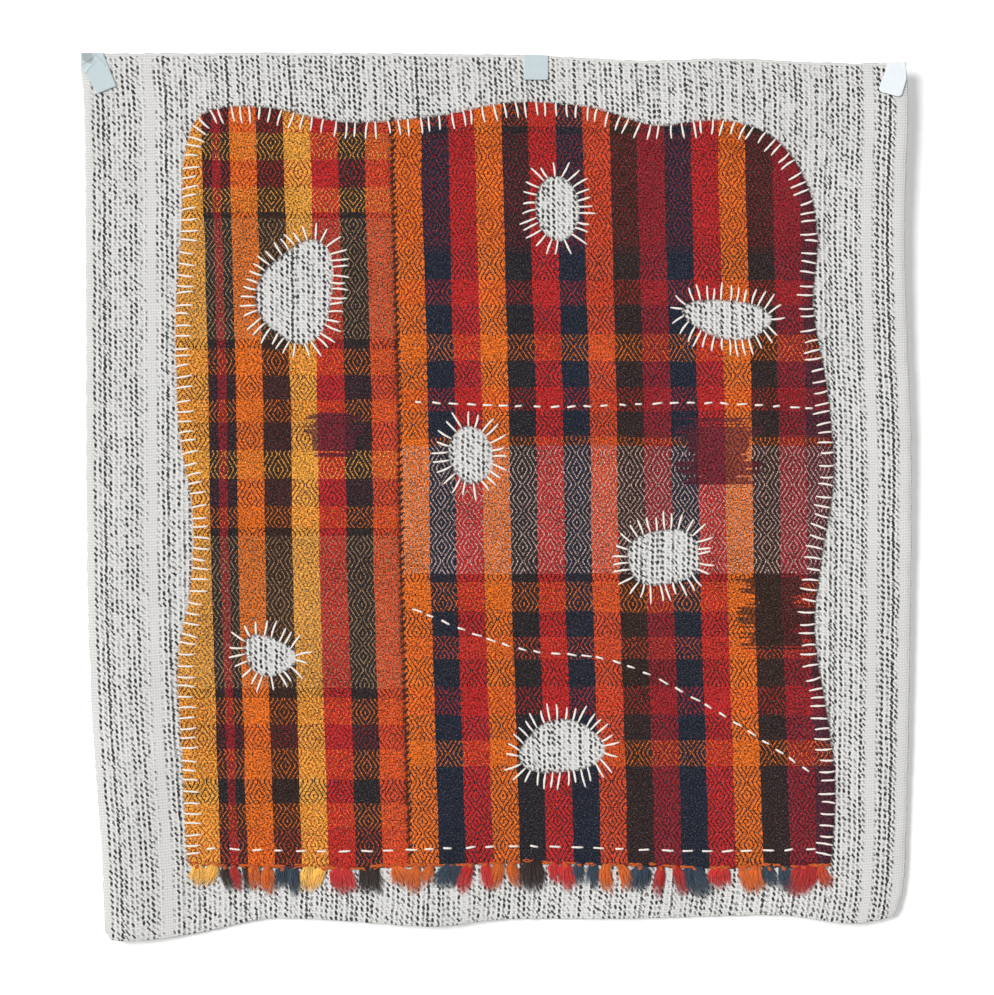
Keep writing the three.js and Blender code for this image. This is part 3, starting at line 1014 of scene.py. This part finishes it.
def fringe_locks(side):
    """The frayed warp ends: one or two locks in each stripe's colour, and their roots."""
    low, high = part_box(f"fringe_{side}")
    first, last = low[0] / MM + 1, high[0] / MM - 1
    hem = patch_hem()[::-1]
    paths, colours, roots = [], [], []
    for start, end, yarn in stripes_at_hem(side):
        start, end = max(start, first), min(end, last)
        if end - start < 3:
            continue
        shade = np.array(linear(YARNS[FRINGE_SHADE.get(yarn, yarn)]))[:3]
        count = draw.choice((1, 2, 2)) if end - start > 18 else 1
        for k in range(count):
            wide = (end - start) / count
            root = start + (k + 0.5) * wide + wobble(0.8)
            hem_z = float(np.interp(root, hem[:, 0], hem[:, 1])) - ROOT_DROP
            lock, own = fringe_lock(root, wide * draw.uniform(0.75, 1.05), shade, hem_z)
            paths += lock
            colours += own
            roots.append((root, hem_z))
    return paths, colours, roots


def root_knots(roots):
    """Turns of thread round the roots of most locks."""
    paths = []
    for x, z in roots:
        if draw.random() < 0.25:
            continue
        wide = draw.uniform(1.8, 3.2)
        tilt = wobble(1.6)
        for turn in range(draw.choice((1, 2, 3))):
            level = z - 1.6 - 1.2 * turn
            paths.append(arch(x + wide * ARCH_STEPS, level, tilt, **ROOT_KNOT))
    return paths


def yarn_beside(x, z):
    """The colour of the warp stripe at a place on the patch."""
    off = x - float(seam_x(z))
    for _, end, yarn in side_by_side(WARP["left" if off < 0 else "right"]):
        if abs(off) < end:
            break
    return np.array(linear(YARNS[yarn]))[:3]


def edge_fibres():
    """Short loose fibres that stand out from the patch's edge and from its holes."""
    paths, colours = [], []
    t = np.linspace(-0.25, 1, 4)
    for line in stitched_edges():
        for here, left in stitch_places(line, FIBRE_SPACING):
            away = turned(*left, wobble(65))
            long = draw.uniform(1.4, 3.6)
            droop = wobble(0.8)
            x, z = here[:, None] + away[:, None] * long * t
            y = surface_y(x, z, 0) - 0.5 - (1 - t)
            paths.append(stacked(x + droop * t * t, y, z, 0.24 * (1.1 - 0.6 * t)))
            shade = np.r_[yarn_beside(*here) * draw.uniform(0.8, 1.5), 1.0]
            colours.append((shade, shade))
    return paths, colours


# How far below the hem the twisted thread runs, and the step between its points
THREAD_DROP = 2.6
THREAD_STEP = 1.2


def hem_thread():
    """Two strands twisted together along the hem, that dip out of sight here and there."""
    line = even_steps(patch_hem(THREAD_DROP), THREAD_STEP)
    paths = []
    start = 0
    while start < len(line) - 8:
        part = line[start:start + draw.randint(7, 20)]
        drift = wobble(1.0)
        x, z = part.T
        spread = 0.8 + 0.4 * np.sin(x / 17)
        sink = 2.4 * (1 - np.sin(np.pi * np.linspace(0, 1, len(part))) ** 0.35)
        for strand in (0, 1):
            turn = np.pi * strand + x / 2.6 + 2 * np.sin(x / 23)
            y = surface_y(x, z, 1) - 0.3 - 0.5 * spread * np.cos(turn) + sink
            at = z + drift + 0.9 * np.sin(x / 19) + spread * np.sin(turn)
            paths.append(stacked(x, y, at, 0.85 + 0.2 * np.sin(x / 7)))
        start += len(part) + draw.randint(0, 8)
    return paths


# Raised creases in the tabs: from x and z to x and z, height and half width
CREASES = [
    (-412, -12, -399, 1, 0.9, 1.3),
    (-405, -18, -398, -6, 0.6, 1.0),
    (-399, 1, -389, -9, 0.7, 1.1),
    (403, -1, 409, -9, 0.5, 1.0),
]
# How deep a tab's front part is, and how far its lower end curls out
TAB_FRONT = 2.2
TAB_CURL = 1.7
# The left tab's left edge: x at its top, slope, how far it bulges at which height, and reach
TAB_EDGE = -411.8
TAB_SLOPE = 0.404
BULGE = 5.5
BULGE_AT = -12.0
BULGE_WIDE = 22.0
# How much longer the other tabs are, as a share, and how much wider the right one's foot is
TAB_LONGER = 0.06
RIGHT_TAB_WIDER = 3.0
TAB_VOXEL = 0.00042


def crease_height(x, z):
    """How far the creases raise a point of a tab."""
    height = np.zeros(len(x))
    for x0, z0, x1, z1, rise, wide in CREASES:
        run = np.array([x1 - x0, z1 - z0], dtype=float)
        t = np.clip(((x - x0) * run[0] + (z - z0) * run[1]) / (run @ run), 0, 1)
        off = np.hypot(x - x0 - t * run[0], z - z0 - t * run[1])
        height = np.maximum(height, rise * np.exp(-((off / wide) ** 2)))
    return height


def bend_tab(node, points):
    """Curl a tab's lower end, crease it, and widen or lengthen it. points are in millimetres."""
    x, y, z = points.T
    top, bottom = z.max(), z.min()
    front = y < y.min() + TAB_FRONT
    down = (top - z) / (top - bottom)
    y[front] -= crease_height(x[front], z[front]) + TAB_CURL * down[front] ** 2
    if node == "hanging_tab_left":
        from_edge = x - TAB_EDGE + TAB_SLOPE * z
        share = np.clip(1 - from_edge / BULGE_WIDE, 0, 1)
        above = np.clip((top - z) / (top - BULGE_AT), 0, 1)
        below = np.clip((z - bottom) / (BULGE_AT - bottom), 0, 1)
        x -= BULGE * share * np.minimum(above, below)
    else:
        z -= TAB_LONGER * (top - z)
    if node == "hanging_tab_right":
        x -= RIGHT_TAB_WIDER * (x.max() - x) / np.ptp(x) * down


def tab_piece(node, material):
    """A tab: its solid with softened edges, bent and creased."""
    piece = in_scene(f"{node}_tape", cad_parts[node].data.copy())
    piece.data.materials.clear()
    piece.data.materials.append(material)
    remesh = piece.modifiers.new("soft", "REMESH")
    remesh.mode = "VOXEL"
    remesh.voxel_size = TAB_VOXEL
    smooth = piece.modifiers.new("round", "SMOOTH")
    smooth.iterations = 4
    graph = bpy.context.evaluated_depsgraph_get()
    mesh = bpy.data.meshes.new_from_object(piece.evaluated_get(graph))
    piece.modifiers.clear()
    piece.data = mesh
    mesh.shade_smooth()
    points = np.empty(len(mesh.vertices) * 3)
    mesh.vertices.foreach_get("co", points)
    points = points.reshape(-1, 3) / MM
    bend_tab(node, points)
    mesh.vertices.foreach_set("co", (points * MM).ravel())
    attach(piece, "root")
    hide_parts(node)
    return piece


def sheet_area(outline, holes):
    """The area of a sheet less its holes, in square metres."""
    def area(ring):
        x, z = ring.T
        return abs(np.dot(x, np.roll(z, -1)) - np.dot(z, np.roll(x, -1))) / 2

    return float((area(outline) - sum(area(hole) for hole in holes)) * MM * MM)


def make_panel(side):
    """One loom width of the plaid, with the holes that lie in it."""
    outline = panel_outline(side)
    holes = [hole_outline(hole) for hole in HOLES]
    own = [ragged(hole, 0.6, True) for hole in holes if inside(hole[:1], outline)[0]]
    panel = plaid_sheet(side, [outline, *own])
    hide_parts(f"plaid_panel_{side}")
    sheet_area(outline, own)


def make_fringe(side):
    """A panel's fringe. Returns the places of its locks' roots."""
    paths, colours, roots = fringe_locks(side)
    locks = tubes(f"fringe_{side}_locks", paths, lock_material(),
                  sides=3, colours=colours)
    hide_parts(f"fringe_{side}")
    return roots


def make_sewing(roots):
    """The stitches, the loose fibres, and the threads along the hem and round the locks."""
    # Each yarn's second colour is the painted shade in the grooves between its plies.
    white = yarn_material("white_yarn", (253, 249, 243), (224, 213, 203))
    tubes("whip_stitches", whip_stitches(), white, ply=1.6)
    tubes("running_stitches", running_stitches(), white, ply=1.6)
    dark = yarn_material("seam_yarn", (64, 34, 26), (26, 14, 12))
    tubes("seam_stitches", seam_stitches(), dark, ply=1.6)
    loose, colours = edge_fibres()
    tubes("edge_fibres", loose, lock_material(), sides=3, colours=colours)
    orange = yarn_material("hem_yarn", (224, 110, 36), (150, 52, 14), ply=4.0)
    tubes("hem_thread", hem_thread(), orange, sides=8, ply=2.4)
    tubes("root_knots", root_knots(roots), orange, sides=6)


def make_hanging():
    """The whole hanging, from the backing to the tabs."""
    backing = backing_cloth(marled_cloth())
    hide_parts("backing_cloth")
    roots = []
    for side in ("left", "right"):
        make_panel(side)
        roots += make_fringe(side)
    make_sewing(roots)
    blue = (190, 203, 207)
    # The left tab's material has painted shade at its folded corner.
    tab_piece("hanging_tab_left", tab_material("tab_fold_shade", blue, fold_shade_at=(-406, -1, 7)))
    tab_piece("hanging_tab_middle", tab_material("tab_blue", blue))
    tab_piece("hanging_tab_right", tab_material("tab_white", (229, 235, 239)))


# The picture's width at the hanging, the camera's distance, and the x and z of its middle
PICTURE_WIDE = 0.994
CAMERA_BACK = 3.6
VIEW_MIDDLE = (0.002, -0.4405)
SENSOR_WIDE = 36


def make_camera():
    """A camera square on to the hanging, with the photo's frame."""
    camera = in_scene("camera", bpy.data.cameras.new("camera"))
    camera.location = (VIEW_MIDDLE[0], -CAMERA_BACK, VIEW_MIDDLE[1])
    camera.rotation_euler = (math.pi / 2, 0, 0)
    camera.data.sensor_width = SENSOR_WIDE
    camera.data.lens = SENSOR_WIDE * CAMERA_BACK / PICTURE_WIDE
    camera.data.clip_end = 50
    bpy.context.scene.camera = camera


# How far behind the hanging's back the wall is, how much it leans, and where the floor is
WALL_BACK = 0.018
WALL_LEAN = 0.027
FLOOR_AT = -1.6


def stage_plane(name, size, location, turn, values):
    """A square of the stage, turned about X, its material's nodes and its shader."""
    half = size / 2
    mesh = bpy.data.meshes.new(name)
    corners = [(-half, -half, 0), (half, -half, 0), (half, half, 0), (-half, half, 0)]
    mesh.from_pydata(corners, [], [(0, 1, 2, 3)])
    paint, shader = new_material(f"{name}_paint", values)
    mesh.materials.append(paint)
    item = in_scene(name, mesh)
    item.location = location
    item.rotation_euler = (turn, 0, 0)
    return item, paint.node_tree, shader


def make_stage():
    """A white wall just behind the hanging, seen from the front only, and a pale floor."""
    paint = {
        "Base Color": (0.96, 0.96, 0.96, 1),
        "Roughness": 1,
        "Specular IOR Level": 0,
        "Emission Color": (1, 1, 1, 1),
        "Emission Strength": 0.06,
    }
    upright = math.pi / 2 - WALL_LEAN
    wall, tree, shader = stage_plane("wall", 6.0, (0, WALL_BACK, -0.3), upright, paint)
    wall.visible_shadow = False
    wall.visible_diffuse = False
    wall.visible_glossy = False
    clear = new_node(tree, "BsdfTransparent", {}).outputs[0]
    behind = new_node(tree, "NewGeometry", {}).outputs["Backfacing"]
    either = new_node(tree, "MixShader", {0: behind, 1: shader.outputs[0], 2: clear})
    join(either.outputs[0], tree.nodes["Material Output"].inputs["Surface"])
    pale = {"Base Color": (0.8, 0.8, 0.79, 1), "Roughness": 0.9}
    stage_plane("floor", 12.0, (0, 0, FLOOR_AT), 0, pale)


def make_sun(name, energy, angle, direction):
    """A sun that shines in a direction. angle is its width in degrees."""
    sun = in_scene(name, bpy.data.lights.new(name, "SUN"))
    sun.data.energy = energy
    sun.data.angle = math.radians(angle)
    sun.rotation_euler = Vector(direction).to_track_quat("-Z", "Y").to_euler()


def make_light():
    """A white room, a soft key light from the upper left, and a weak one on the cloth's back."""
    world = bpy.data.worlds.new("room")
    world.use_nodes = True
    room = world.node_tree.nodes["Background"]
    room.inputs["Color"].default_value = (1, 1, 1, 1)
    room.inputs["Strength"].default_value = 0.44
    bpy.context.scene.world = world
    make_sun("key", energy=2.42, angle=22, direction=(0.62, 1.0, -0.29))
    make_sun("back", energy=1.2, angle=60, direction=(-0.4, -1.0, -0.4))


bpy.context.scene.view_settings.view_transform = "Standard"
make_camera()
make_stage()
make_light()
make_hanging()
